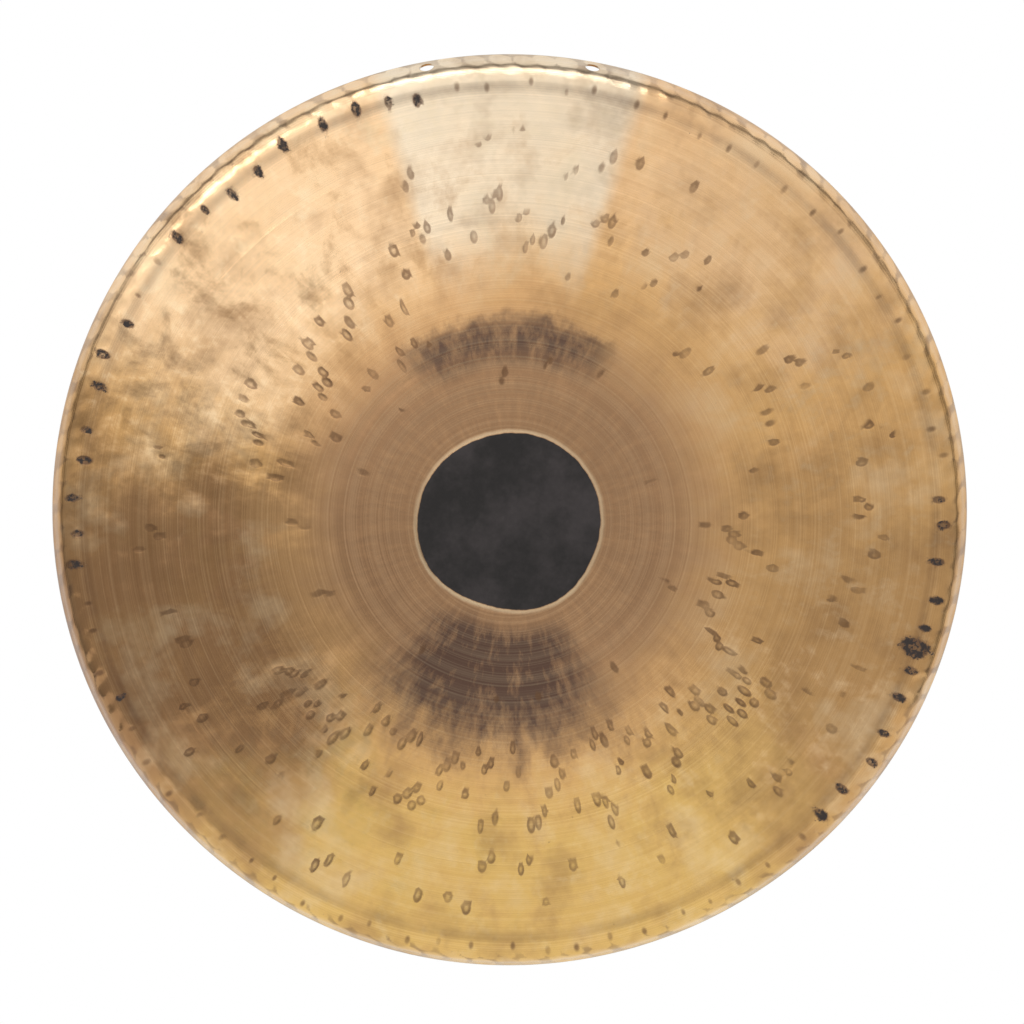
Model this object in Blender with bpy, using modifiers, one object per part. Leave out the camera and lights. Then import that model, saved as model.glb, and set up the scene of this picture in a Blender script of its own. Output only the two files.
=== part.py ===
# A hand hammered bronze gong, turned bright on both faces, with a raw black centre.
#
# It hangs upright with its face towards -Y and +Z up. The origin is the middle of its
# outline and of its depth. The whole gong is one sheet: a shallow crowned face that bends
# back at the shoulder into a flared flange, which ends in a flat filed edge at the back.
# The face was turned on a lathe first and the rim was hammered round afterwards, so the
# turned rings and the raw centre sit a little below the middle of the rim.

import bpy
import math
from mathutils import Vector

# Driving dimensions, in metres and degrees

GONG_DIAMETER = 0.559
LATHE_AXIS_DROP = 0.0042

CROWN_HEIGHT = 0.0050
SHOULDER_RADIUS = 0.2627
BEND_RADIUS = 0.0150
FLANGE_ANGLE = 68.0

RAW_CENTRE_RADIUS = 0.0549
RAW_CENTRE_PROUD = 0.00030
RAW_CENTRE_SLOPE = 0.0009

CENTRE_THICKNESS = 0.0016
SHOULDER_THICKNESS = 0.0011
EDGE_THICKNESS = 0.0014
EDGE_CHAMFER = 0.0003

LATHE_RING_RADII = (0.104, 0.179, 0.229)
LATHE_RING_STEP = 0.00015
LATHE_RING_WIDTH = 0.0014

RIM_BLOWS = 77
RIM_BLOW_DEPTH = 0.00035
BLOW_RING_RADIUS = 0.2580

HOLLOW_DEPTH = 0.00030
RIM_WANDER = 0.00035

HOLE_DIAMETER = 0.0090
HOLE_ANGLE = 10.5
HOLE_FROM_EDGE = 0.0085
HOLE_SIDES = 24
HOLE_CUTTER_LENGTH = 0.0120

# The raw centre's outline, as waves round its circle: waves a turn, height, angle of a crest
RAW_CENTRE_WAVES = ((2, 0.0014, 89.0), (3, 0.0012, 25.0), (4, 0.0007, -29.0), (5, 0.0005, 15.0))

# Shape of the turned profile

BEND_POINTS = 6
FIELD_RADII = (0.027, 0.078, 0.141, 0.204)
BACK_RADII = (0.027, 0.095, 0.180)

BRONZE_COLOUR = (0.61, 0.38, 0.17, 1.0)
BRONZE_ROUGHNESS = 0.30


def crown_slope_at_shoulder():
    # Angle between the crowned face and a flat one where the bend starts
    return math.atan(2.0 * CROWN_HEIGHT / SHOULDER_RADIUS)


def flange_length():
    # What is left of the radius once the bend has used its share
    start = crown_slope_at_shoulder()
    stop = math.radians(FLANGE_ANGLE)
    bend_reach = BEND_RADIUS * (math.sin(stop) - math.sin(start))
    return (GONG_DIAMETER / 2.0 - SHOULDER_RADIUS - bend_reach) / math.cos(stop)


def shoulder_height():
    # Height of the face above the back edge, measured where the bend starts
    start = crown_slope_at_shoulder()
    stop = math.radians(FLANGE_ANGLE)
    bend_drop = BEND_RADIUS * (math.cos(start) - math.cos(stop))
    return bend_drop + flange_length() * math.sin(stop)


def face_height(radius):
    # The crowned front of the face, above the back edge
    share = radius / SHOULDER_RADIUS
    return shoulder_height() + CROWN_HEIGHT * (1.0 - share * share)


def thickness(radius):
    # The plate thins steadily from its centre to the shoulder
    share = radius / SHOULDER_RADIUS
    return CENTRE_THICKNESS + (SHOULDER_THICKNESS - CENTRE_THICKNESS) * share


def front_profile():
    # From the centre out to the shoulder, with the raw centre and the lathe's rings
    points = [(0.0, face_height(0.0) + RAW_CENTRE_PROUD)]
    raw_inside = RAW_CENTRE_RADIUS - RAW_CENTRE_SLOPE / 2.0
    raw_outside = RAW_CENTRE_RADIUS + RAW_CENTRE_SLOPE / 2.0
    stations = [(radius, 0.0) for radius in FIELD_RADII]
    stations[0] = (FIELD_RADII[0], RAW_CENTRE_PROUD)
    stations.append((raw_inside, RAW_CENTRE_PROUD))
    stations.append((raw_outside, 0.0))
    for ring in LATHE_RING_RADII:
        stations.append((ring, 0.0))
        stations.append((ring + LATHE_RING_WIDTH, -LATHE_RING_STEP))
    stations.append((BLOW_RING_RADIUS, 0.0))
    for radius, rise in sorted(stations):
        points.append((radius, face_height(radius) + rise))
    return points


def back_profile():
    # From the shoulder back in to the centre, parallel to the front
    raw_inside = RAW_CENTRE_RADIUS - RAW_CENTRE_SLOPE / 2.0
    raw_outside = RAW_CENTRE_RADIUS + RAW_CENTRE_SLOPE / 2.0
    stations = [(radius, 0.0) for radius in BACK_RADII]
    stations[0] = (BACK_RADII[0], RAW_CENTRE_PROUD)
    stations.append((raw_inside, RAW_CENTRE_PROUD))
    stations.append((raw_outside, 0.0))
    stations.append((BLOW_RING_RADIUS, 0.0))
    points = []
    for radius, rise in sorted(stations, reverse=True):
        points.append((radius, face_height(radius) - thickness(radius) - rise))
    points.append((0.0, face_height(0.0) - CENTRE_THICKNESS - RAW_CENTRE_PROUD))
    return points


def bend_profile(depth_in):
    # The bend as an arc, depth_in metres inside the front surface, from shoulder to flange
    start = crown_slope_at_shoulder()
    stop = math.radians(FLANGE_ANGLE)
    centre_radius = SHOULDER_RADIUS - BEND_RADIUS * math.sin(start)
    centre_height = shoulder_height() - BEND_RADIUS * math.cos(start)
    reach = BEND_RADIUS - depth_in
    points = []
    for index in range(BEND_POINTS + 1):
        angle = start + (stop - start) * index / BEND_POINTS
        across = centre_radius + reach * math.sin(angle)
        up = centre_height + reach * math.cos(angle)
        points.append((across, up))
    return points


def edge_profile():
    # The flange's flat back edge, with its outer corner filed off
    lean = math.radians(FLANGE_ANGLE)
    outer = GONG_DIAMETER / 2.0
    corner = (outer - EDGE_CHAMFER * math.cos(lean), EDGE_CHAMFER * math.sin(lean))
    return [corner, (outer - EDGE_CHAMFER, 0.0), (outer - EDGE_THICKNESS / math.sin(lean), 0.0)]


def gong_profile():
    # One closed half section, run down its outer side from the front centre to the back
    points = front_profile()
    points += bend_profile(0.0)
    points += edge_profile()
    points += reversed(bend_profile(SHOULDER_THICKNESS))
    points += back_profile()
    return points


def turned_mesh(points, steps):
    # Spins a half section about Z with a Screw modifier and returns the finished mesh
    outline = bpy.data.meshes.new("half_section")
    corners = [(radius, 0.0, height) for radius, height in points]
    edges = [(index, index + 1) for index in range(len(points) - 1)]
    outline.from_pydata(corners, edges, [])
    blank = bpy.data.objects.new("turned_blank", outline)
    bpy.context.scene.collection.objects.link(blank)
    screw = blank.modifiers.new("turn", "SCREW")
    screw.axis = "Z"
    screw.angle = math.tau
    screw.steps = steps
    screw.render_steps = steps
    screw.use_merge_vertices = True
    screw.merge_threshold = 0.00001
    bpy.context.view_layer.update()
    depsgraph = bpy.context.evaluated_depsgraph_get()
    turned = bpy.data.meshes.new_from_object(blank.evaluated_get(depsgraph))
    bpy.data.objects.remove(blank)
    bpy.data.meshes.remove(outline)
    return turned


def smooth_step(value, low, high):
    # Runs gently from 0 at low to 1 at high
    share = min(max((value - low) / (high - low), 0.0), 1.0)
    return share * share * (3.0 - 2.0 * share)


def raw_outline_shift(angle):
    # How far the raw centre's outline stands off its circle, clockwise angle from the top
    shift = 0.0
    for waves, height, crest in RAW_CENTRE_WAVES:
        shift += height * math.cos(waves * (angle - math.radians(crest)))
    return shift


def hollow_depth(radius, angle):
    # Broad shallow hollows that raising the plate by hammer has left in the face
    first = math.sin(5.0 * angle + 34.0 * radius)
    second = math.sin(3.0 * angle - 57.0 * radius + 1.1)
    third = math.cos(8.0 * angle + 21.0 * radius + 0.4)
    fade = smooth_step(radius, 0.070, 0.140) * (1.0 - smooth_step(radius, 0.225, 0.255))
    return HOLLOW_DEPTH * fade * (first + second + third) / 3.0


def rim_wander(angle):
    # The flange isn't a perfect circle
    return RIM_WANDER * (math.cos(3.0 * angle + 2.7) + math.cos(5.0 * angle + 2.8)) / 2.0


def hammered_point(point):
    # Moves one point of the turned plate to where the hammer left it
    radius = math.hypot(point.x, point.y)
    if radius < 0.001:
        return point.copy()
    angle = math.atan2(point.x, point.y)
    outward = Vector((math.sin(angle), math.cos(angle), 0.0))
    moved = point.copy()
    near_raw_edge = 1.0 - smooth_step(abs(radius - RAW_CENTRE_RADIUS), 0.002, 0.020)
    moved += outward * (raw_outline_shift(angle) * near_raw_edge)
    moved.z += hollow_depth(radius, angle)
    blow = RIM_BLOW_DEPTH * 0.5 * (1.0 + math.cos(RIM_BLOWS * angle))
    on_blows = smooth_step(radius, 0.245, BLOW_RING_RADIUS)
    above_edge = smooth_step(point.z, 0.001, 0.005)
    lean = math.radians(FLANGE_ANGLE) * smooth_step(radius, SHOULDER_RADIUS, GONG_DIAMETER / 2.0)
    inward = outward * -math.sin(lean) - Vector((0.0, 0.0, math.cos(lean)))
    moved += inward * (blow * on_blows * above_edge)
    on_rim = smooth_step(radius, SHOULDER_RADIUS, 0.272)
    moved += outward * (rim_wander(angle) * on_rim)
    moved.y += LATHE_AXIS_DROP * smooth_step(radius, 0.234, SHOULDER_RADIUS)
    return moved


def centre_mesh(mesh):
    # Puts the middle of the outline and of the depth at the mesh's own origin
    low = Vector(min(vertex.co[axis] for vertex in mesh.vertices) for axis in range(3))
    high = Vector(max(vertex.co[axis] for vertex in mesh.vertices) for axis in range(3))
    middle = (low + high) / 2.0
    for vertex in mesh.vertices:
        vertex.co -= middle
    return (high.z - low.z) / 2.0


def bronze_material():
    material = bpy.data.materials.new("hammered_bronze")
    material.use_nodes = True
    shader = material.node_tree.nodes["Principled BSDF"]
    shader.inputs["Base Color"].default_value = BRONZE_COLOUR
    shader.inputs["Metallic"].default_value = 1.0
    shader.inputs["Roughness"].default_value = BRONZE_ROUGHNESS
    material.diffuse_color = BRONZE_COLOUR
    return material


def hole_cutter(name, angle_degrees, half_depth, collection):
    # A rod square to the flange, one hole's bore, at an angle clockwise from the top
    angle = math.radians(angle_degrees)
    lean = math.radians(FLANGE_ANGLE)
    radius = GONG_DIAMETER / 2.0 - HOLE_FROM_EDGE * math.cos(lean)
    depth = half_depth - HOLE_FROM_EDGE * math.sin(lean)
    normal = Vector((math.sin(angle) * math.sin(lean), -math.cos(lean), math.cos(angle) * math.sin(lean)))
    bpy.ops.mesh.primitive_cylinder_add(
        vertices=HOLE_SIDES, radius=HOLE_DIAMETER / 2.0, depth=HOLE_CUTTER_LENGTH,
        location=(radius * math.sin(angle), depth, radius * math.cos(angle)))
    cutter = bpy.context.active_object
    cutter.name = name
    cutter.rotation_mode = "QUATERNION"
    cutter.rotation_quaternion = normal.to_track_quat("Z", "Y")
    cutter.hide_render = True
    cutter.display_type = "WIRE"
    for owner in list(cutter.users_collection):
        owner.objects.unlink(cutter)
    collection.objects.link(cutter)
    return cutter


def make_gong(parts, cutters):
    mesh = turned_mesh(gong_profile(), 2 * RIM_BLOWS)
    mesh.name = "gong_plate"
    for vertex in mesh.vertices:
        vertex.co = hammered_point(vertex.co)
    half_depth = centre_mesh(mesh)
    mesh.shade_smooth()
    mesh.set_sharp_from_angle(angle=math.radians(32.0))
    mesh.materials.append(bronze_material())
    gong = bpy.data.objects.new("gong_plate", mesh)
    # The plate was turned about Z with its face up: this stands it up to face -Y
    gong.rotation_euler = (math.pi / 2.0, 0.0, 0.0)
    parts.objects.link(gong)
    for side, angle in (("left", -HOLE_ANGLE), ("right", HOLE_ANGLE)):
        cutter = hole_cutter("cord_hole_" + side, angle, half_depth, cutters)
        drill = gong.modifiers.new("cord_hole_" + side, "BOOLEAN")
        drill.operation = "DIFFERENCE"
        drill.solver = "EXACT"
        drill.object = cutter
    return gong


def main():
    for thing in list(bpy.data.objects):
        bpy.data.objects.remove(thing)
    parts = bpy.data.collections.new("gong")
    cutters = bpy.data.collections.new("gong_cutters")
    bpy.context.scene.collection.children.link(parts)
    bpy.context.scene.collection.children.link(cutters)
    make_gong(parts, cutters)


main()
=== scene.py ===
import math
import random

import bmesh
import bpy
import numpy as np
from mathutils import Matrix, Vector


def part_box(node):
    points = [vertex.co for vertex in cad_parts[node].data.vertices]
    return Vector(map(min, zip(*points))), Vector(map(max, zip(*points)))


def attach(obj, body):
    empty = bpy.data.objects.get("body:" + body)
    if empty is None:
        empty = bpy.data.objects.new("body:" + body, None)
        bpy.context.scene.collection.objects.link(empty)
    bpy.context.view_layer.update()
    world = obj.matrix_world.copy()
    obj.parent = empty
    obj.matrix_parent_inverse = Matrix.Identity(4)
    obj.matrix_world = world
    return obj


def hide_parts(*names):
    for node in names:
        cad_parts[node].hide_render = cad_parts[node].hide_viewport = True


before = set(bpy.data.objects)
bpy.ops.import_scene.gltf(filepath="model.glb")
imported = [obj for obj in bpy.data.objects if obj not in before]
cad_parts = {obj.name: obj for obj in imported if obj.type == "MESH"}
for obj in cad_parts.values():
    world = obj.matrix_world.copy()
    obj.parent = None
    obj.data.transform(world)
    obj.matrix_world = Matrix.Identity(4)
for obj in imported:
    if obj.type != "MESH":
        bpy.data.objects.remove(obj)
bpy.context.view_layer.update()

# The gong hangs upright with its struck face towards -Y. Lengths are metres. Angles are
# degrees, and round the gong they run clockwise from the top as the face is seen.

plate = {
    "latheDrop": 0.0042,             # the turned rings sit this far below the middle of the rim
    "crown": 0.0050,
    "shoulderRadius": 0.2627,
    "bendRadius": 0.0150,
    "flangeLean": 68.0,
    "centreThickness": 0.0016,
    "shoulderThickness": 0.0011,
    "edgeThickness": 0.0014,
    "edgeRound": 0.0004,
    "edgeClear": (0.0004, 0.0030),   # heights above the back edge over which the blows begin
    "latheReach": 0.234,             # outside this radius the face rises to meet the rim
    "rawRadius": 0.0549,
    "rawPull": (0.002, 0.020),       # the face follows its uneven outline within these distances
    "rawProud": 0.0003,
    "rawWaves": ((2, 0.00091, 89.0), (3, 0.00078, 25.0), (4, 0.000455, -29.0), (5, 0.000325, 15.0)),
    "ringRadii": (0.104, 0.179, 0.229),
    "ringStep": 0.00012,
    "ringWidth": 0.0012,
    "rawStep": 0.0006,               # half the run of the step at the raw centre's edge
    "segments": 1024,
    "flangeStations": 6,
    # The mesh of each side: stations round the bend and their spacing inwards, and the radii
    # inside which the rings have half as many points
    "front": {"bend": 14, "spacing": 0.0050, "aboveRaw": 0.002, "belowRaw": 0.004,
              "innerSpacing": 0.0045, "innermost": 0.008, "halvings": (0.2600, 0.130, 0.062, 0.028)},
    "back": {"bend": 8, "spacing": 0.0120, "aboveRaw": 0.004, "belowRaw": 0.006,
             "innerSpacing": 0.0080, "innermost": 0.010, "halvings": (0.2779, 0.130, 0.062, 0.028)},
    "holeAngle": 10.5,
    "holeDiameter": 0.0090,
    "holeFromEdge": 0.0085,
    "drillLength": 0.012,
    "smoothAngle": 40.0,
}


def smoothStep(value, low, high):
    share = np.clip((value - low) / (high - low), 0.0, 1.0)
    return share * share * (3.0 - 2.0 * share)


def plateFacts():
    # The settings above, with the sizes that follow from them and from the frame's box
    facts = dict(plate)
    low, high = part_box("gong_plate")
    start = math.atan(2.0 * plate["crown"] / plate["shoulderRadius"])
    end = math.radians(plate["flangeLean"])
    bend = plate["bendRadius"]
    facts["outerRadius"] = (high.x - low.x) / 2.0
    facts["backY"] = high.y
    facts["startLean"] = start
    facts["endLean"] = end
    reach = facts["outerRadius"] - plate["shoulderRadius"] - bend * (math.sin(end) - math.sin(start))
    drop = bend * (math.cos(start) - math.cos(end))
    facts["shoulderHeight"] = drop + reach / math.cos(end) * math.sin(end)
    facts["bendMiddle"] = (plate["shoulderRadius"] - bend * math.sin(start),
                           facts["shoulderHeight"] - bend * math.cos(start))
    return facts


facts = plateFacts()


def faceHeight(radius):
    # Heights are measured from the plane of the back edge
    share = radius / facts["shoulderRadius"]
    return facts["shoulderHeight"] + facts["crown"] * (1.0 - share * share)


def bendPoint(lean, depth):
    # A point of the bend whose surface leans that far back, depth inside the front surface
    middleRadius, middleHeight = facts["bendMiddle"]
    reach = facts["bendRadius"] - depth
    return middleRadius + reach * math.sin(lean), middleHeight + reach * math.cos(lean)


def bendStations(depth, count):
    # From the flange up round the bend, stopping short of the shoulder
    stations = []
    for index in range(count):
        lean = facts["endLean"] + (facts["startLean"] - facts["endLean"]) * index / count
        stations.append(bendPoint(lean, depth))
    return stations


def faceRadii(side):
    # Where the stations lie between the shoulder and the middle
    raw = facts["rawRadius"]
    radii = list(np.arange(facts["shoulderRadius"], raw + side["aboveRaw"], -side["spacing"]))
    radii += [raw + facts["rawStep"], raw - facts["rawStep"]]
    radii += list(np.arange(raw - side["belowRaw"], side["innermost"], -side["innerSpacing"]))
    return radii


def frontStations():
    # Half section of the front, from the back edge in to the middle: (radius, height)
    lean = facts["endLean"]
    outer = facts["outerRadius"]
    edge = facts["edgeRound"]
    bottom = (outer - edge * math.cos(lean) / math.sin(lean), edge)
    top = bendPoint(lean, 0.0)
    stations = [(outer - edge * 0.3, edge * 0.3), bottom]
    for index in range(facts["flangeStations"]):
        share = (index + 1) / (facts["flangeStations"] + 1)
        radius = bottom[0] + (top[0] - bottom[0]) * share
        stations.append((radius, bottom[1] + (top[1] - bottom[1]) * share))
    stations += bendStations(0.0, facts["front"]["bend"])
    radii = faceRadii(facts["front"])
    grooves = [ring + facts["ringWidth"] for ring in facts["ringRadii"]]
    for ring in facts["ringRadii"]:
        radii = [radius for radius in radii if abs(radius - ring) > facts["ringWidth"]]
    radii += list(facts["ringRadii"]) + grooves
    for radius in sorted(radii, reverse=True):
        rise = facts["rawProud"] if radius < facts["rawRadius"] else 0.0
        if radius in grooves:
            rise = -facts["ringStep"]
        stations.append((radius, faceHeight(radius) + rise))
    return stations


def backStations():
    # Half section of the back, from the flat edge in to the middle, the plate's thickness behind
    inner = facts["outerRadius"] - facts["edgeThickness"] / math.sin(facts["endLean"])
    top = bendPoint(facts["endLean"], facts["shoulderThickness"])
    stations = [(inner, 0.0), ((inner + top[0]) * 0.5, top[1] * 0.5)]
    stations += bendStations(facts["shoulderThickness"], facts["back"]["bend"])
    thinning = facts["shoulderThickness"] - facts["centreThickness"]
    for radius in sorted(faceRadii(facts["back"]), reverse=True):
        thickness = facts["centreThickness"] + thinning * radius / facts["shoulderRadius"]
        rise = facts["rawProud"] if radius < facts["rawRadius"] else 0.0
        stations.append((radius, faceHeight(radius) - thickness - rise))
    return stations


def selectRing(mesh, radius, depth):
    # Selects the open ring of edges at one station
    bpy.ops.mesh.select_all(action="DESELECT")
    editMesh = bmesh.from_edit_mesh(mesh)
    for edge in editMesh.edges:
        if len(edge.link_faces) < 2:
            off = [abs(math.hypot(v.co.x, v.co.z) - radius) + abs(v.co.y - depth) for v in edge.verts]
            edge.select_set(max(off) < 0.0002)
    bmesh.update_edit_mesh(mesh)


def halveRing(mesh):
    # Joins every second pair of the selected ring's points
    editMesh = bmesh.from_edit_mesh(mesh)
    ring = [v for v in editMesh.verts if v.select]
    ring.sort(key=lambda v: math.atan2(v.co.x, v.co.z))
    pairs = {frozenset((ring[index].index, ring[index + 1].index)) for index in range(0, len(ring), 2)}
    radius = math.hypot(ring[0].co.x, ring[0].co.z)
    depth = ring[0].co.y
    bpy.ops.mesh.select_all(action="DESELECT")
    for edge in editMesh.edges:
        if frozenset((edge.verts[0].index, edge.verts[1].index)) in pairs:
            edge.select_set(True)
    bmesh.update_edit_mesh(mesh)
    bpy.ops.mesh.merge(type="COLLAPSE")
    selectRing(mesh, radius, depth)


def drawThrough(mesh, stations, halvings, radius, depth):
    # Extrudes the selected ring through the stations and closes it at the middle
    halvings = list(halvings)
    for nextRadius, height in stations:
        nextDepth = facts["backY"] - height
        bpy.ops.mesh.extrude_edges_move(TRANSFORM_OT_translate={"value": (0.0, nextDepth - depth, 0.0)})
        scale = nextRadius / radius
        bpy.ops.transform.resize(value=(scale, 1.0, scale), center_override=(0.0, nextDepth, 0.0))
        radius, depth = nextRadius, nextDepth
        if halvings and radius < halvings[0]:
            halvings.pop(0)
            halveRing(mesh)
    bpy.ops.mesh.extrude_edges_move(TRANSFORM_OT_translate={"value": (0.0, 0.0, 0.0)})
    bpy.ops.mesh.merge(type="CENTER")


def raisePlate():
    # A circle at the back edge's corner, drawn over the front and then over the back
    bpy.ops.object.select_all(action="DESELECT")
    startRadius = facts["outerRadius"] - facts["edgeRound"]
    bpy.ops.mesh.primitive_circle_add(
        vertices=facts["segments"], radius=startRadius, fill_type="NOTHING",
        location=(0.0, facts["backY"], 0.0), rotation=(math.pi / 2.0, 0.0, 0.0))
    gong = bpy.context.active_object
    gong.name = "gong"
    gong.data.name = "gong"
    bpy.ops.object.transform_apply(location=True, rotation=True, scale=True)
    bpy.ops.object.mode_set(mode="EDIT")
    bpy.ops.mesh.select_mode(type="EDGE")
    bpy.ops.mesh.select_all(action="SELECT")
    drawThrough(gong.data, frontStations(), facts["front"]["halvings"], startRadius, facts["backY"])
    selectRing(gong.data, startRadius, facts["backY"])
    drawThrough(gong.data, backStations(), facts["back"]["halvings"], startRadius, facts["backY"])
    bpy.ops.mesh.select_all(action="SELECT")
    bpy.ops.mesh.normals_make_consistent(inside=False)
    bpy.ops.object.mode_set(mode="OBJECT")
    print("plate raised:", len(gong.data.polygons), "faces")
    return gong


# What the hammer left. Places are from the lathe's axis. A mark is so long outwards from the
# middle and so wide round the gong, both half sizes.

hammer = {
    "seed": 22,
    "shoulder": {"count": 128, "lean": 33.0, "long": 0.0056, "wide": 0.0078, "depth": 0.00042},
    "flange": {"count": 117, "lean": 64.0, "long": 0.0052, "wide": 0.0085, "depth": 0.00028},
    "rimFrom": 0.252,                # the shoulder's and flange's blows lie outside this radius
    "blowScatter": 0.22,             # round the gong, as a share of their spacing
    "blowShift": 0.0016,
    "blowTwist": (0.20, 0.40),       # how far they slant
    "blowDepths": (0.45, 1.35),
    "blowBowl": 1.3,
    "fullBlow": 0.00034,             # the depth at which a blow has rubbed the rim bright
    "heavyScatter": (0.15, 0.0035),
    "heavySizes": (0.7, 1.15),
    "worn": 0.35,                    # a heavy blow without its oxide has this share of the depth
    "heavy": {"count": 77, "radius": 0.2640, "long": 0.0042, "wide": 0.0024, "depth": 0.00022},
    "large": {"angle": 107.4, "radius": 0.2590, "long": 0.0085, "wide": 0.0052, "depth": 0.00022},
    # Stretches where the heavy blows kept their black oxide: from, to, how many in ten
    "oxide": (
        (-100.0, -60.0, 9),
        (-60.0, -12.0, 8),
        (-12.0, 0.0, 3),
        (86.0, 134.0, 9),
        (204.0, 216.0, 7),
        (238.0, 262.0, 6),
    ),
    # Zones of peening marks: from angle, to angle, from radius, to radius, count, depth
    "peening": (
        (118.0, 236.0, 0.138, 0.188, 72, 0.00027),
        (88.0, 135.0, 0.128, 0.176, 16, 0.00022),
        (-80.0, -22.0, 0.112, 0.180, 30, 0.00022),
        (-24.0, 34.0, 0.150, 0.196, 20, 0.00018),
        (34.0, 80.0, 0.135, 0.200, 12, 0.00016),
        (118.0, 250.0, 0.205, 0.246, 30, 0.00024),
        (60.0, 118.0, 0.195, 0.240, 15, 0.00020),
        (-18.0, 32.0, 0.212, 0.236, 7, 0.00014),
        (236.0, 282.0, 0.200, 0.236, 6, 0.00018),
        (-180.0, 180.0, 0.070, 0.125, 14, 0.00012),
    ),
    "peenLong": (0.0024, 0.0052),
    "peenWide": (0.0016, 0.0029),
    "peenDepths": (0.6, 1.2),
    "peenTwice": 0.28,               # how often the hammer fell twice
    "peenApart": (1.4, 1.5),         # degrees, and half lengths outwards, between those two
    "fullPeen": 0.00022,
    "lip": 0.16,                     # height of the metal pushed up round a mark, of its depth
    "broadDepth": 0.00030,
    "broadWaves": ((5, 34.0, 0.0), (3, -57.0, 1.1), (8, 21.0, 0.4 + math.pi / 2.0)),
    "broadField": (0.070, 0.140, 0.225, 0.255),      # radii between which the hollows rise and fade
    "rippleDepth": 0.000055,
    "rippleField": (0.075, 0.120),
    "rippleSide": 275.0,             # the ripples are strongest towards this angle
    "rippleLeast": 0.35,
    "rippleWaves": {"seed": 7, "count": 14, "turns": (14, 46), "lengths": (-90.0, 90.0)},
    "rimWander": 0.00035,
    "refineReach": (1.15, 0.0008),   # faces are divided this far out: times a mark's size, plus
}


def hammerMarks():
    # Every mark on the face: angle, radius, half length, half width, depth, oxide
    dice = random.Random(hammer["seed"])
    marks = []
    for start, stop, inner, outer, count, depth in hammer["peening"]:
        for index in range(count):
            angle = start + (stop - start) * (index + dice.uniform(0.1, 0.9)) / count
            radius = dice.uniform(inner, outer)
            long = dice.uniform(*hammer["peenLong"])
            wide = dice.uniform(*hammer["peenWide"])
            marks.append((angle, radius, long, wide, depth * dice.uniform(*hammer["peenDepths"]), 0.0))
            if dice.random() < hammer["peenTwice"]:
                turn, steps = hammer["peenApart"]
                marks.append((angle + turn, radius + long * steps, long, wide, depth, 0.0))
    heavy = hammer["heavy"]
    around, outwards = hammer["heavyScatter"]
    for index in range(heavy["count"]):
        angle = 360.0 / heavy["count"] * (index + dice.uniform(-around, around)) - 180.0
        radius = heavy["radius"] + dice.uniform(-outwards, outwards)
        shown = 0
        for start, stop, tenths in hammer["oxide"]:
            if start <= angle < stop or start <= angle + 360.0 < stop:
                shown = tenths
        oxide = dice.uniform(0.75, 1.0) if dice.random() * 10.0 < shown else 0.0
        depth = heavy["depth"] * (1.0 if oxide else hammer["worn"])
        size = dice.uniform(*hammer["heavySizes"])
        marks.append((angle, radius, heavy["long"] * size, heavy["wide"] * size, depth, oxide))
    large = hammer["large"]
    marks.append((large["angle"], large["radius"], large["long"], large["wide"], large["depth"], 1.0))
    return marks


def offMark(x, z, angle, radius):
    # How far points lie outwards from a mark's middle, and round the gong from it
    sine = math.sin(math.radians(angle))
    cosine = math.cos(math.radians(angle))
    return x * sine + z * cosine - radius, x * cosine - z * sine


def meshValues(items, name):
    values = np.zeros(len(items) * 3)
    items.foreach_get(name, values)
    return values.reshape(-1, 3)


def refineAt(gong, marks):
    # Divides the front's faces under each mark, so that the mark has points to be pressed in
    mesh = gong.data
    centres = meshValues(mesh.polygons, "center")
    front = meshValues(mesh.polygons, "normal")[:, 1] < -0.2
    chosen = np.zeros(len(centres), bool)
    scale, margin = hammer["refineReach"]
    for angle, radius, long, wide, depth, oxide in marks:
        outwards, around = offMark(centres[:, 0], centres[:, 2] + facts["latheDrop"], angle, radius)
        reach = (outwards / (long * scale + margin)) ** 2 + (around / (wide * scale + margin)) ** 2
        chosen |= front & (reach < 1.0)
    bpy.ops.object.mode_set(mode="EDIT")
    bpy.ops.mesh.select_mode(type="FACE")
    bpy.ops.mesh.select_all(action="DESELECT")
    bpy.ops.object.mode_set(mode="OBJECT")
    mesh.polygons.foreach_set("select", chosen)
    bpy.ops.object.mode_set(mode="EDIT")
    bpy.ops.mesh.subdivide(number_cuts=2, smoothness=0.0)
    bpy.ops.object.mode_set(mode="OBJECT")
    print("refined", int(chosen.sum()), "faces for", len(marks), "marks")


def facePush(angle, radius):
    # How far the hammer left the face standing forward: broad hollows and small ripples
    broad = np.zeros(len(angle))
    for around, outward, phase in hammer["broadWaves"]:
        broad += np.sin(around * angle + outward * radius + phase) / len(hammer["broadWaves"])
    start, full, fade, end = hammer["broadField"]
    inField = smoothStep(radius, start, full) * (1.0 - smoothStep(radius, fade, end))
    waves = hammer["rippleWaves"]
    dice = random.Random(waves["seed"])
    ripples = np.zeros(len(angle))
    for index in range(waves["count"]):
        around = dice.randint(*waves["turns"])
        outward = dice.uniform(*waves["lengths"])
        ripples += np.sin(around * angle + outward * radius + dice.uniform(0.0, math.tau))
    ripples /= math.sqrt(waves["count"])
    towards = np.cos(angle - math.radians(hammer["rippleSide"]))
    least = hammer["rippleLeast"]
    ripples *= least + (1.0 - least) * smoothStep(towards, -0.3, 0.8)
    ripples *= smoothStep(radius, *hammer["rippleField"])
    return hammer["broadDepth"] * broad * inField + hammer["rippleDepth"] * ripples


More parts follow.
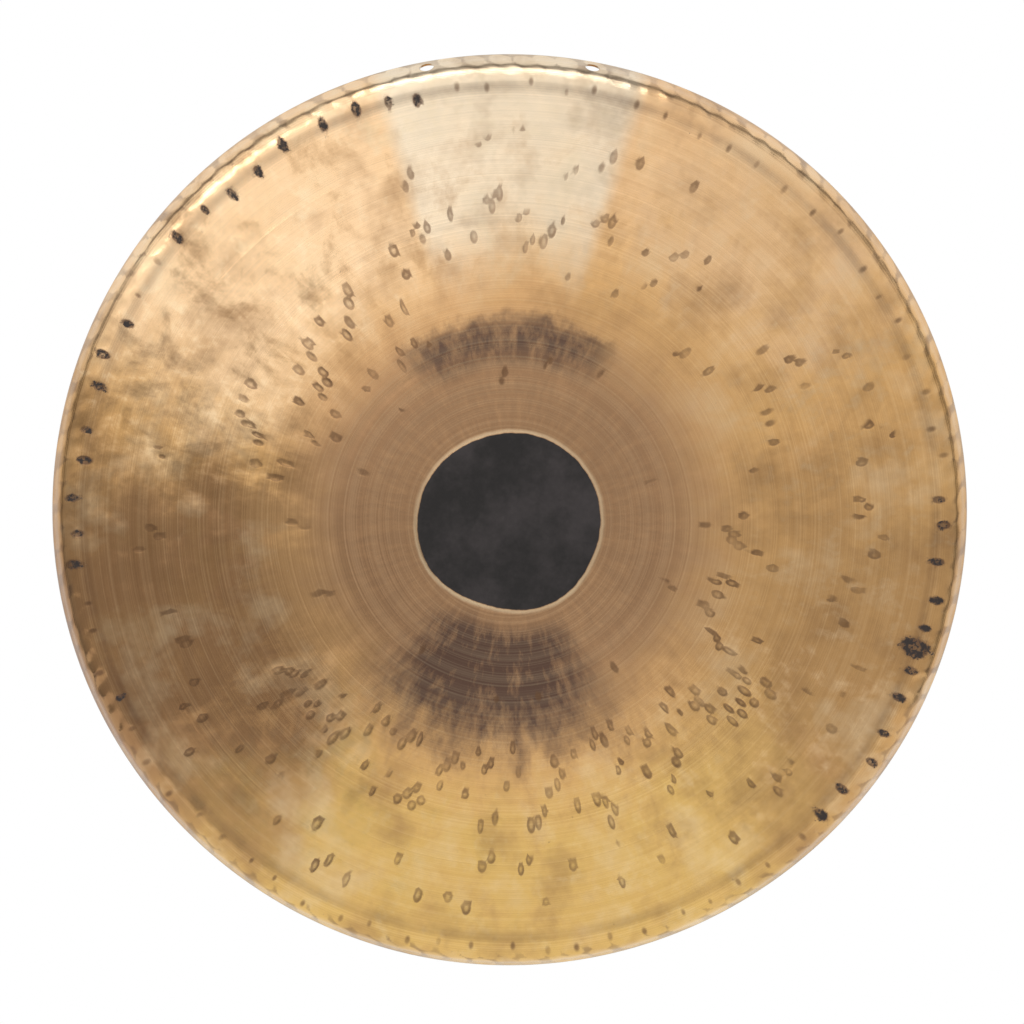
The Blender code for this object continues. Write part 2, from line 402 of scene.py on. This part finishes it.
def rimPress(angle, radius, height, lean):
    # How deep the overlapping blows on the shoulder and the flange went
    dice = random.Random(hammer["seed"] + 1)
    press = np.zeros(len(radius))
    onRim = radius > hammer["rimFrom"]
    scatter = hammer["blowScatter"]
    for blow in (hammer["shoulder"], hammer["flange"]):
        blowLean = math.radians(blow["lean"])
        bendFoot = bendPoint(blowLean, 0.0)[1] - 0.004
        for index in range(blow["count"]):
            where = math.tau * (index + dice.uniform(-scatter, scatter)) / blow["count"] - math.pi
            shift = dice.uniform(-hammer["blowShift"], hammer["blowShift"])
            twist = dice.uniform(*hammer["blowTwist"])
            around = (angle - where + math.pi) % math.tau - math.pi
            near = onRim & (np.abs(around) < 0.06)
            sideways = around[near] * radius[near]
            upDown = (lean[near] - blowLean) * facts["bendRadius"] + shift + twist * sideways
            upDown += np.maximum(bendFoot - height[near], 0.0)
            reach = (sideways / blow["wide"]) ** 2 + (upDown / blow["long"]) ** 2
            bowl = np.clip(1.0 - reach, 0.0, 1.0) ** hammer["blowBowl"]
            deep = blow["depth"] * dice.uniform(*hammer["blowDepths"])
            press[near] = np.maximum(press[near], deep * bowl)
    return press


def pressMarks(points, front, marks):
    # How deep each mark went, with its raised lip, and how strongly it and its oxide show
    x = points[:, 0]
    z = points[:, 2] + facts["latheDrop"]
    sunk = np.zeros(len(points))
    dents = np.zeros(len(points))
    oxides = np.zeros(len(points))
    for angle, radius, long, wide, deep, oxide in marks:
        outwards, around = offMark(x, z, angle, radius)
        reach = np.sqrt((outwards / long) ** 2 + (around / wide) ** 2)
        reach[~front] = 9.0
        bowl = np.clip(1.0 - reach ** 2, 0.0, 1.0)
        lip = np.exp(-((reach - 1.15) / 0.22) ** 2) * (reach < 2.0)
        sunk = np.maximum(sunk, deep * bowl) - hammer["lip"] * deep * lip
        strength = min(deep / hammer["fullPeen"], 1.0)
        dents = np.maximum(dents, np.clip(1.25 - reach, 0.0, 1.0) * strength)
        if oxide:
            oxides = np.maximum(oxides, oxide * np.clip(1.7 - reach, 0.0, 1.0))
    return sunk, dents, oxides


def beatPlate(gong, marks):
    # Moves the turned plate's points to where the hammer left them, and records what it bared
    mesh = gong.data
    points = meshValues(mesh.vertices, "co")
    front = meshValues(mesh.vertices, "normal")[:, 1] < -0.2
    radius = np.hypot(points[:, 0], points[:, 2])
    angle = np.arctan2(points[:, 0], points[:, 2])
    height = facts["backY"] - points[:, 1]
    outward = points / np.maximum(radius, 1e-6)[:, None]
    outward[:, 1] = 0.0
    forward = np.array([0.0, -1.0, 0.0])

    outline = np.zeros(len(radius))
    for waves, size, crest in facts["rawWaves"]:
        outline += size * np.cos(waves * (angle - math.radians(crest)))
    nearRaw = 1.0 - smoothStep(np.abs(radius - facts["rawRadius"]), *facts["rawPull"])
    points += outward * (outline * nearRaw)[:, None]
    points += forward * facePush(angle, radius)[:, None]

    middleRadius, middleHeight = facts["bendMiddle"]
    lean = np.arctan2(radius - middleRadius, np.maximum(height - middleHeight, 1e-5))
    lean = np.clip(lean, 0.0, facts["endLean"])
    inward = -outward * np.sin(lean)[:, None] - forward * np.cos(lean)[:, None]
    press = rimPress(angle, radius, height, lean)
    points += inward * (press * smoothStep(height, *facts["edgeClear"]))[:, None]

    wander = hammer["rimWander"] * (np.cos(3.0 * angle + 2.7) + np.cos(5.0 * angle + 2.8)) / 2.0
    points += outward * (wander * smoothStep(radius, facts["shoulderRadius"], 0.272))[:, None]
    onRim = smoothStep(radius, facts["latheReach"], facts["shoulderRadius"])
    points[:, 2] += facts["latheDrop"] * (onRim - 1.0)

    sunk, dents, oxides = pressMarks(points, front, marks)
    points -= forward * sunk[:, None]
    mesh.vertices.foreach_set("co", points.ravel())
    for name, values in (("dentMark", dents), ("oxideMark", oxides), ("rimBlow", press / hammer["fullBlow"])):
        layer = mesh.attributes.new(name, "FLOAT", "POINT")
        layer.data.foreach_set("value", values.astype(np.float32))
    mesh.update()


def drillHoles(gong):
    # Two holes for the cord, square to the flange, either side of the top
    lean = facts["endLean"]
    radius = facts["outerRadius"] - facts["holeFromEdge"] * math.cos(lean)
    depth = facts["backY"] - facts["holeFromEdge"] * math.sin(lean)
    for side in (-1.0, 1.0):
        angle = math.radians(side * facts["holeAngle"])
        axis = Vector((math.sin(angle) * math.sin(lean), -math.cos(lean), math.cos(angle) * math.sin(lean)))
        bpy.ops.object.select_all(action="DESELECT")
        bpy.ops.mesh.primitive_cylinder_add(
            vertices=40, radius=facts["holeDiameter"] / 2.0, depth=facts["drillLength"],
            location=(radius * math.sin(angle), depth, radius * math.cos(angle)),
            rotation=axis.to_track_quat("Z", "Y").to_euler())
        drill = bpy.context.active_object
        bpy.context.view_layer.objects.active = gong
        cut = gong.modifiers.new("drill", "BOOLEAN")
        cut.operation = "DIFFERENCE"
        cut.solver = "EXACT"
        cut.object = drill
        bpy.ops.object.modifier_apply(modifier=cut.name)
        bpy.data.objects.remove(drill)
    print("holes drilled")


class Wire:
    # A shader socket that can be used in a Python expression
    def __init__(self, make, socket):
        self.make = make
        self.socket = socket

    def __add__(self, other):
        return self.make.maths("ADD", self, other)

    def __radd__(self, other):
        return self.make.maths("ADD", other, self)

    def __sub__(self, other):
        return self.make.maths("SUBTRACT", self, other)

    def __rsub__(self, other):
        return self.make.maths("SUBTRACT", other, self)

    def __mul__(self, other):
        return self.make.maths("MULTIPLY", self, other)

    def __rmul__(self, other):
        return self.make.maths("MULTIPLY", other, self)

    def __truediv__(self, other):
        return self.make.maths("DIVIDE", self, other)

    def __rtruediv__(self, other):
        return self.make.maths("DIVIDE", other, self)

    def maths(self, operation, other=0.0, clamp=False):
        return self.make.maths(operation, self, other, clamp)

    def most(self, other):
        return self.maths("MAXIMUM", other)

    def clamped(self):
        return self.maths("ADD", 0.0, clamp=True)

    def smooth(self, low, high):
        # 0 up to low, 1 from high, with an easy run between
        settings = {"interpolation_type": "SMOOTHSTEP"}
        return self.make.node("ShaderNodeMapRange", settings, {0: self, 1: low, 2: high})

    def hump(self, start, full, fade, end):
        # 1 between full and fade, 0 before start and after end
        return self.smooth(start, full) * (1.0 - self.smooth(fade, end))


class Maker:
    # One node tree under construction
    def __init__(self, owner):
        owner.use_nodes = True
        self.tree = owner.node_tree
        self.tree.nodes.clear()

    def node(self, kind, settings=None, sockets=None, output=0):
        node = self.tree.nodes.new(kind)
        for name, value in (settings or {}).items():
            setattr(node, name, value)
        for name, value in (sockets or {}).items():
            if isinstance(value, Wire):
                self.tree.links.new(value.socket, node.inputs[name])
            else:
                node.inputs[name].default_value = value
        return Wire(self, node.outputs[output]) if node.outputs else None

    def maths(self, operation, first, second, clamp=False):
        settings = {"operation": operation, "use_clamp": clamp}
        return self.node("ShaderNodeMath", settings, {0: first, 1: second})

    def noise(self, place, settings):
        scale, detail, roughness, distortion = settings
        sockets = {"Vector": place, "Scale": scale, "Detail": detail, "Roughness": roughness}
        sockets["Distortion"] = distortion
        return self.node("ShaderNodeTexNoise", None, sockets)

    def lineNoise(self, along, settings):
        scale, detail, roughness = settings
        sockets = {"W": along, "Scale": scale, "Detail": detail, "Roughness": roughness}
        return self.node("ShaderNodeTexNoise", {"noise_dimensions": "1D"}, sockets)

    def attribute(self, name):
        return self.node("ShaderNodeAttribute", {"attribute_name": name}, output=2)

    def blend(self, share, first, second):
        # A mix of two colours
        return self.node("ShaderNodeMix", {"data_type": "RGBA"}, {0: share, 6: first, 7: second}, output=2)

    def vector(self, operation, first, second):
        return self.node("ShaderNodeVectorMath", {"operation": operation}, {0: first, 1: second})

    def scaled(self, vector, scale):
        return self.node("ShaderNodeVectorMath", {"operation": "SCALE"}, {0: vector, "Scale": scale})

    def join(self, x, y, z):
        return self.node("ShaderNodeCombineXYZ", None, {0: x, 1: y, 2: z})

    def parts(self, vector):
        node = self.node("ShaderNodeSeparateXYZ", None, {0: vector}).socket.node
        return [Wire(self, socket) for socket in node.outputs]


def sector(x, z, radius, angle, halfWidth, softness):
    # 1 within halfWidth degrees of an angle, 0 from softness degrees further on
    towards = math.radians(angle)
    low = math.cos(math.radians(halfWidth + softness))
    high = math.cos(math.radians(halfWidth))
    return ((x * math.sin(towards) + z * math.cos(towards)) / radius).smooth(low, high)


# Finish of the metal, with painted reflections and painted shade. A painted patch covers halfWidth degrees
# either side of its angle, fades over softness degrees more, and starts over run metres from its inner
# radius.

bronze = {
    "gold": (0.76, 0.460, 0.180, 1.0),
    "redGold": (0.69, 0.380, 0.150, 1.0),
    "inner": (0.51, 0.290, 0.148, 1.0),
    "umber": (0.30, 0.160, 0.070, 1.0),
    "smoke": (0.125, 0.074, 0.054, 1.0),
    # the darker ring round the dents, partly tarnish and partly painted shade
    "tarnishAndShade": (0.16, 0.085, 0.045, 1.0),
    "pale": (0.92, 0.74, 0.48, 1.0),
    "oxide": (0.018, 0.014, 0.015, 1.0),
    "rawBlack": (0.010, 0.0078, 0.0075, 1.0),
    "rawGrey": (0.044, 0.036, 0.037, 1.0),
    # Painted reflections and painted shade, on the front only: paler where the face would mirror the overhead
    # card, the key card, the floor bounce and up to the right, darker where it would mirror the two gaps
    "paintedReflections": (
        {"name": "painted floor reflection", "angle": 178.0, "halfWidth": 30.0, "softness": 38.0,
         "inner": 0.135, "run": 0.070, "strength": 0.75, "colour": (0.75, 0.495, 0.150, 1.0)},
        {"name": "painted right shade", "angle": 110.0, "halfWidth": 8.0, "softness": 30.0,
         "inner": 0.120, "run": 0.080, "strength": 0.85, "colour": (0.55, 0.315, 0.128, 1.0)},
        {"name": "painted left shade", "angle": 250.0, "halfWidth": 12.0, "softness": 28.0,
         "inner": 0.115, "run": 0.060, "strength": 1.0, "colour": (0.38, 0.208, 0.095, 1.0)},
        {"name": "painted key reflection", "angle": 322.0, "halfWidth": 17.0, "softness": 22.0,
         "inner": 0.110, "run": 0.080, "strength": 0.85, "colour": (0.93, 0.650, 0.390, 1.0)},
        {"name": "painted right reflection", "angle": 34.0, "halfWidth": 10.0, "softness": 24.0,
         "inner": 0.140, "run": 0.070, "strength": 0.75, "colour": (0.88, 0.580, 0.325, 1.0)},
        {"name": "painted overhead reflection", "angle": 0.0, "halfWidth": 15.0, "softness": 3.5,
         "inner": 0.130, "run": 0.070, "strength": 0.84, "colour": (0.87, 0.740, 0.555, 1.0)},
    ),
    # Noises: scale, detail, roughness, distortion
    "cloud": (9.0, 3.0, 0.6, 0.0),
    "grain": (60.0, 3.0, 0.6, 0.0),
    "streaks": (5.0, 5.0, 0.65, 0.3),
    "brush": (16.0, 3.0, 0.6, 0.2),
    "mottle": (21.0, 4.0, 0.62, 0.0),
    "ragged": (270.0, 4.0, 0.75, 0.0),
    "rawRagged": (160.0, 3.0, 0.6, 0.0),
    "skinClouds": (30.0, 4.0, 0.62, 0.0),
    "skinSpecks": (300.0, 2.0, 0.6, 0.0),
    "wobble": (7.0, 1.0, 0.5, 0.0),
    # The lathe's grooves along the radius: scale, detail, roughness
    "coarseGrooves": (150.0, 2.0, 0.6),
    "fineGrooves": (900.0, 3.0, 0.7),
    "finestGrooves": (5200.0, 1.0, 0.5),
    "crispBelow": 6.0,               # a patch with less softness than this keeps straight sides
    "innerShare": 0.92,
    "innerEdge": (0.090, 0.175),
    # Smoke: angle, half width and softness, inner edge and outer edge in metres, strength
    "smokeBelow": {"sector": (186.0, 8.0, 40.0), "inner": (0.050, 0.080), "outer": (0.105, 0.160),
                   "strength": 1.25},
    "smokeAbove": {"sector": (-1.0, 20.0, 20.0), "inner": (0.078, 0.112), "outer": (0.118, 0.130)},
    "smokeRound": {"outer": (0.085, 0.140), "strength": 0.35},
    # Where darker streaks and painted highlight streaks show most, and the painted shade on the left that
    # keeps the highlight streaks out
    "streaksAndSheen": (292.0, 30.0, 50.0),
    "unlit": (254.0, 18.0, 20.0),
    "rimEdge": (0.2685, 0.2715),
    # the band of painted shade in the crease inside the shoulder
    "creaseShade": (0.2540, 0.2600, 0.2600, 0.2650),
    "rawLine": (0.0549, 0.0556, 0.0562, 0.0582),
    "rawEdge": 0.0003,
    "face": (0.060, 0.150, 0.258, 0.266),
    # How strongly the dents' darker rings (partly tarnish, partly painted shade), the oxide, the painted dark
    # reflection between the rim's blows and the painted shade in the crease show
    "dentTarnishAndShade": 0.85,
    "oxideCover": 0.93,
    "ridgeReflectionStrength": 0.6,
    "creaseShadeStrength": 0.55,
    "grooveSpread": 0.50,            # how far the finest grooves tip the light in and out
    "grooveLean": 0.125,             # and how much of that is outwards
    "roughness": 0.19,
    "rimRoughness": -0.07,
    "dullRoughness": 0.42,
    "dullMetal": 0.85,               # how much less metallic the oxide is
    "skinBump": 0.0004,
}


class Surface:
    # Where the shader is on the gong, and the noises that several layers share
    def __init__(self, make):
        place = make.node("ShaderNodeTexCoord", output="Object")
        self.place = place
        self.x, depth, self.height = make.parts(place)
        self.z = self.height + facts["latheDrop"]
        self.radius = (self.x * self.x + self.z * self.z).maths("SQRT").most(0.0001)
        self.rimRadius = (self.x * self.x + self.height * self.height).maths("SQRT")
        self.angle = self.x.maths("ARCTAN2", self.z)
        self.cloud = make.noise(place, bronze["cloud"])
        self.grain = make.noise(place, bronze["grain"])
        alongRadii = make.join(self.x / self.radius * 1.6, self.z / self.radius * 1.6, self.radius * 6.0)
        self.streaks = make.noise(alongRadii, bronze["streaks"])
        self.brush = make.noise(alongRadii, bronze["brush"])
        self.normal = make.node("ShaderNodeNewGeometry", output="Normal")
        self.front = (make.parts(self.normal)[1] * -1.0).smooth(-0.1, 0.1)
        self.softX = self.x + (self.cloud - 0.5) * 0.10 + (self.streaks - 0.5) * 0.05
        self.softZ = self.z + (self.grain - 0.5) * 0.03
        wobble = (make.noise(place, bronze["wobble"]) - 0.5) * 0.0016
        self.turned = self.radius + wobble
        self.fine = make.lineNoise(self.turned, bronze["fineGrooves"])
        self.coarse = make.lineNoise(self.turned, bronze["coarseGrooves"])


def metalColour(make, at):
    # Gold outside and browner towards the middle, with painted reflections and painted shade in sectors round
    # the front
    colour = make.blend((at.cloud * 0.9 - 0.15).clamped(), bronze["gold"], bronze["redGold"])
    # The patches paint reflections and shade on the front only
    for patch in bronze["paintedReflections"]:
        crisp = patch["softness"] < bronze["crispBelow"]
        x = at.x if crisp else at.softX
        z = at.z if crisp else at.softZ
        mask = sector(x, z, at.radius, patch["angle"], patch["halfWidth"], patch["softness"])
        start = patch["inner"]
        mask = mask * (at.radius + (at.streaks - 0.5) * 0.04).smooth(start, start + patch["run"])
        uneven = (at.streaks - 0.5) * (0.5 if crisp else 1.1) + (at.cloud - 0.5) * 0.6 + 1.0
        colour = make.blend((mask * uneven * patch["strength"] * at.front).clamped(), colour, patch["colour"])
    edge = at.radius + (at.cloud - 0.5) * 0.070 + (at.streaks - 0.5) * 0.045 + (at.grain - 0.5) * 0.010
    share = (1.0 - edge.smooth(*bronze["innerEdge"])) * bronze["innerShare"]
    colour = make.blend(share, colour, bronze["inner"])
    mottle = make.noise(at.place, bronze["mottle"])
    browner = (mottle - 0.50) * 2.4 * at.radius.smooth(0.08, 0.14)
    colour = make.blend(browner.clamped(), colour, bronze["umber"])
    paler = (0.47 - mottle) * 1.8 * at.radius.smooth(0.10, 0.16)
    return make.blend(paler.clamped(), colour, bronze["pale"])


def smokeShare(at):
    # The smoky stains: a fan below the raw centre, a band above it, and a little all round
    fan = bronze["smokeBelow"]
    band = bronze["smokeAbove"]
    ring = bronze["smokeRound"]
    below = sector(at.x, at.z, at.radius, *fan["sector"]) * fan["strength"]
    below = below * (1.0 - (at.radius + (at.streaks - 0.5) * 0.10).smooth(*fan["outer"]))
    below = below * (at.radius + (at.cloud - 0.5) * 0.03).smooth(*fan["inner"])
    above = sector(at.x, at.z, at.radius, *band["sector"])
    above = above * (at.radius + (at.cloud - 0.5) * 0.035).smooth(*band["inner"])
    frayed = at.radius + (at.grain - 0.5) * 0.022 + (at.brush - 0.5) * 0.014
    above = above * (1.0 - frayed.smooth(*band["outer"]))
    sides = (1.0 - (at.radius + (at.cloud - 0.5) * 0.06).smooth(*ring["outer"])) * ring["strength"]
    smoke = below.most(above).most(sides)
    return smoke * (at.streaks * 1.4 + at.brush * 1.2 - 0.45).clamped() * (at.front * 0.7 + 0.3)


def wornColour(make, at, colour, smoke):
    # Smoke, darker streaks and painted highlight streaks along the radii, strongest on the left, and the
    # lathe's lines
    colour = make.blend(smoke.clamped(), colour, bronze["smoke"])
    streaksAndSheen = sector(at.softX, at.softZ, at.radius, *bronze["streaksAndSheen"]) * at.radius.smooth(0.120, 0.190)
    streaksAndSheen = streaksAndSheen * 0.6 + at.radius.smooth(0.100, 0.200) * 0.34
    darker = (0.46 - at.streaks) * 3.2 * streaksAndSheen
    colour = make.blend(darker.clamped(), colour, bronze["umber"])
    # Painted highlight streaks along the radii, kept out of the painted shade on the left
    lit = 1.0 - sector(at.x, at.z, at.radius, *bronze["unlit"])
    brighter = (at.brush * 0.5 + at.streaks * 0.5 - 0.53) * 4.5 * streaksAndSheen * lit
    colour = make.blend(brighter.clamped(), colour, bronze["pale"])
    ring = ((at.fine - 0.5) * 0.46 + (at.coarse - 0.5) * 0.22) * (at.grain * 1.1 + 0.35)
    colour = make.blend((ring * 0.7 + 0.06).clamped(), colour, bronze["smoke"])
    return make.blend((ring * -0.7 + 0.02).clamped(), colour, bronze["pale"])


def markedColour(make, at, colour):
    # Peening marks get a darker ring, partly tarnish and partly painted shade; heavy blows keep their black
    # oxide; the rim gets painted dark reflections between its blows and painted shade in its crease
    dent = make.attribute("dentMark")
    # A darker ring round each peening mark, partly tarnish and partly painted shade of the dent
    dentRing = dent.smooth(0.10, 0.35) * (1.0 - dent.smooth(0.50, 1.05) * 0.65)
    share = (dentRing * (at.grain * 1.6 - 0.10)).clamped() * bronze["dentTarnishAndShade"]
    colour = make.blend(share, colour, bronze["tarnishAndShade"])
    mark = make.attribute("oxideMark")
    ragged = make.noise(at.place, bronze["ragged"]) - 0.5
    stain = (mark + ragged * 1.6).smooth(0.20, 0.75)
    oxide = (mark + ragged * 3.0).smooth(0.62, 0.90) * bronze["oxideCover"]
    colour = make.blend(stain * 0.55, colour, bronze["smoke"])
    onRim = at.rimRadius.smooth(*bronze["rimEdge"])
    # Painted dark reflection on the rim between the blows, in the smoke brown
    paintedRidgeReflection = onRim * (1.0 - make.attribute("rimBlow").smooth(0.02, 0.30)) * (at.grain * 1.4 - 0.1).clamped()
    colour = make.blend(paintedRidgeReflection * bronze["ridgeReflectionStrength"], colour, bronze["smoke"])
    # Painted shade in the crease inside the shoulder, in the smoke brown
    creaseShade = at.rimRadius.hump(*bronze["creaseShade"]) * (at.streaks * 1.6 - 0.4).clamped()
    colour = make.blend(creaseShade * bronze["creaseShadeStrength"], colour, bronze["smoke"])
    return colour, oxide, onRim


def bronzeMaterial():
    material = bpy.data.materials.new("turned bronze")
    make = Maker(material)
    at = Surface(make)
    smoke = smokeShare(at)
    colour = wornColour(make, at, metalColour(make, at), smoke)
    colour, oxide, onRim = markedColour(make, at, colour)

    # The raw centre, inside its own uneven outline, with a bright line turned round it
    outline = at.radius
    for waves, size, crest in facts["rawWaves"]:
        outline = outline - ((at.angle - math.radians(crest)) * float(waves)).maths("COSINE") * size
    outline = outline + (make.noise(at.place, bronze["rawRagged"]) - 0.5) * 0.0014
    edge = bronze["rawEdge"]
    raw = 1.0 - outline.smooth(facts["rawRadius"] - edge, facts["rawRadius"] + edge)
    clouds = make.noise(at.place, bronze["skinClouds"])
    specks = make.noise(at.place, bronze["skinSpecks"])
    skinShade = (clouds.smooth(0.36, 0.68) * 0.75 + (specks - 0.5) * 0.5).clamped()
    lip = outline.hump(*bronze["rawLine"]) * (at.cloud * 1.6 - 0.2).clamped()
    colour = make.blend(lip * 0.6, colour, bronze["pale"])
    colour = make.blend(oxide, colour, bronze["oxide"])
    colour = make.blend(raw, colour, make.blend(skinShade, bronze["rawBlack"], bronze["rawGrey"]))
    dull = raw.most(oxide)

    # The lathe's grooves tip the surface out and in, the hammer's rubbing sideways
    tangent = make.join(at.z / at.radius, 0.0, at.x / at.radius * -1.0)
    outwards = make.vector("CROSS_PRODUCT", at.normal, tangent)
    finest = make.lineNoise(at.turned, bronze["finestGrooves"]) - 0.5
    lean = finest * bronze["grooveSpread"] + (at.fine - 0.5) * 0.16 + (at.coarse - 0.5) * 0.06
    onFace = at.radius.hump(*bronze["face"])
    lean = lean + onFace * bronze["grooveLean"] * ((at.brush - 0.5) * 0.8 + 1.0)
    sideways = ((at.streaks - 0.5) * 0.30 + (at.brush - 0.5) * 0.14) * at.radius.smooth(0.080, 0.180)
    bright = 1.0 - dull
    tip = make.vector("ADD", make.scaled(outwards, lean * bright), make.scaled(tangent, sideways * bright))
    tipped = make.vector("NORMALIZE", make.vector("ADD", at.normal, tip), (0.0, 0.0, 0.0))
    bumpHeight = (clouds * 0.5 + specks * 0.5) * dull
    bump = make.node("ShaderNodeBump", None, {
        "Strength": 0.5, "Distance": bronze["skinBump"], "Height": bumpHeight, "Normal": tipped})

    roughness = onRim * bronze["rimRoughness"] + dull * bronze["dullRoughness"]
    roughness = roughness + (at.grain - 0.5) * 0.12 + smoke * 0.10 + bronze["roughness"]
    shader = make.node("ShaderNodeBsdfPrincipled", None, {
        "Base Color": colour, "Metallic": 1.0 - dull * bronze["dullMetal"],
        "Roughness": roughness, "Normal": bump})
    make.node("ShaderNodeOutputMaterial", None, {"Surface": shader})
    return material


def makeGong():
    gong = raisePlate()
    marks = hammerMarks()
    refineAt(gong, marks)
    beatPlate(gong, marks)
    drillHoles(gong)
    bpy.ops.object.select_all(action="DESELECT")
    gong.select_set(True)
    bpy.context.view_layer.objects.active = gong
    bpy.ops.object.shade_smooth_by_angle(angle=math.radians(facts["smoothAngle"]))
    gong.data.materials.clear()
    gong.data.materials.append(bronzeMaterial())
    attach(gong, "root")
    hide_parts("gong_plate")
    print("gong finished:", len(gong.data.polygons), "faces")


# The studio: a pale room with brighter cards and darker gaps on the camera's side, and a
# white backdrop behind. Levels are brightness, where 1 is white.

studio = {
    "level": 0.90,
    # Cards: name, angle, half width, softness, how much brighter
    "cards": (
        ("overhead card", 0.0, 16.0, 3.0, 0.19),
        ("key card", 322.0, 16.0, 18.0, 0.30),
        ("right gap", 108.0, 12.0, 34.0, -0.18),
        ("left gap", 249.0, 15.0, 26.0, -0.38),
        ("floor bounce", 172.0, 20.0, 26.0, 0.08),
    ),
    "axisLevel": 0.70,               # towards the camera itself
    "axisEdge": (3.0, 14.0),         # degrees from the line in which the face mirrors the camera
    "wallLevel": 0.34,
    "wallEdge": (74.0, 82.0),
    "backdropEdge": (96.0, 104.0),
    "tint": (1.0, 0.985, 0.97),
    "white": (1.0, 1.0, 1.0, 1.0),
    "floorBelow": 0.75,
    "floorSize": 4.0,
    "floorColour": (0.86, 0.84, 0.80, 1.0),
    "floorGlow": 1.08,
    "floorGlowShare": 0.8,           # the rest keeps the shadow
    # Lamps: name, place, size, watts, colour
    "lamps": (
        ("overhead softbox", (0.0, -0.75, 1.9), (1.3, 0.2), 3.0, (1.0, 0.98, 0.95)),
        ("left softbox", (-1.6, -2.2, 1.6), (0.8, 0.8), 5.0, (1.0, 0.97, 0.93)),
    ),
}

view = {
    "elevation": 5.0,
    "distance": 4.5,
    "sensor": 36.0,
    "framePixels": 1024.0,
    "gongPixels": 917.4,             # the gong's width in the photograph's frame
    "middleX": 509.6,
    "middleY": 513.3,
    "clip": (0.05, 100.0),
}


def whiteRays(make, glossy):
    # 1 for the rays that see a plain white background
    seen = make.node("ShaderNodeLightPath", output="Is Camera Ray")
    seen = seen.most(make.node("ShaderNodeLightPath", output="Is Transmission Ray"))
    return seen.most(make.node("ShaderNodeLightPath", output="Is Glossy Ray") * glossy)


def degreeStep(wire, edges):
    return wire.smooth(math.radians(edges[0]), math.radians(edges[1]))


def makeRoom():
    world = bpy.data.worlds.new("studio room")
    bpy.context.scene.world = world
    make = Maker(world)
    x, y, height = make.parts(make.node("ShaderNodeTexCoord", output="Generated"))
    z = height - y * math.tan(math.radians(view["elevation"]))
    radius = (x * x + z * z).maths("SQRT").most(0.0001)
    offAxis = radius.maths("ARCTAN2", y * -1.0)
    level = studio["level"]
    for name, angle, halfWidth, softness, brighter in studio["cards"]:
        level = sector(x, z, radius, angle, halfWidth, softness) * brighter + level
    away = degreeStep(offAxis, studio["axisEdge"])
    level = away * level + (1.0 - away) * studio["axisLevel"]
    wall = degreeStep(offAxis, studio["wallEdge"])
    level = wall * studio["wallLevel"] + (1.0 - wall) * level
    backdrop = degreeStep(offAxis, studio["backdropEdge"])
    tone = make.blend(backdrop, make.scaled(studio["tint"], level), studio["white"])
    tone = make.blend(whiteRays(make, backdrop), tone, studio["white"])
    background = make.node("ShaderNodeBackground", None, {"Color": tone, "Strength": 1.0})
    make.node("ShaderNodeOutputWorld", None, {"Surface": background})


def makeFloor():
    bpy.ops.object.select_all(action="DESELECT")
    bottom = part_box("gong_plate")[0].z
    bpy.ops.mesh.primitive_plane_add(
        size=studio["floorSize"], location=(0.0, 0.0, bottom - studio["floorBelow"]))
    floor = bpy.context.active_object
    floor.name = "floor"
    material = bpy.data.materials.new("pale floor")
    make = Maker(material)
    diffuse = make.node("ShaderNodeBsdfDiffuse", None, {"Color": studio["floorColour"]})
    glow = make.node("ShaderNodeEmission", None, {"Strength": studio["floorGlow"]})
    share = whiteRays(make, 1.0) * studio["floorGlowShare"]
    mix = make.node("ShaderNodeMixShader", None, {0: share, 1: diffuse, 2: glow})
    make.node("ShaderNodeOutputMaterial", None, {"Surface": mix})
    floor.data.materials.append(material)


def makeLamps():
    for name, place, size, watts, colour in studio["lamps"]:
        light = bpy.data.lights.new(name, "AREA")
        light.shape = "RECTANGLE"
        light.size = size[0]
        light.size_y = size[1]
        light.energy = watts
        light.color = colour
        lamp = bpy.data.objects.new(name, light)
        bpy.context.scene.collection.objects.link(lamp)
        lamp.location = place
        lamp.rotation_mode = "QUATERNION"
        lamp.rotation_quaternion = (-Vector(place)).to_track_quat("-Z", "Y")


def makeCamera():
    # Aimed so that the gong's middle and width fall where they are in the photograph
    camera = bpy.data.objects.new("camera", bpy.data.cameras.new("camera"))
    bpy.context.scene.collection.objects.link(camera)
    low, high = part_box("gong_plate")
    perPixel = (high.x - low.x) / view["gongPixels"]
    half = view["framePixels"] / 2.0
    camera.data.sensor_width = view["sensor"]
    camera.data.lens = view["sensor"] * view["distance"] / (perPixel * view["framePixels"])
    camera.data.clip_start, camera.data.clip_end = view["clip"]
    aim = Vector(((half - view["middleX"]) * perPixel, 0.0, (view["middleY"] - half) * perPixel))
    elevation = math.radians(view["elevation"])
    back = Vector((0.0, -math.cos(elevation), math.sin(elevation)))
    camera.location = aim + back * view["distance"]
    camera.rotation_mode = "QUATERNION"
    camera.rotation_quaternion = (-back).to_track_quat("-Z", "Y")
    bpy.context.scene.camera = camera


makeCamera()
makeGong()
makeRoom()
makeFloor()
makeLamps()
bpy.context.scene.view_settings.view_transform = "Standard"
print("studio ready")
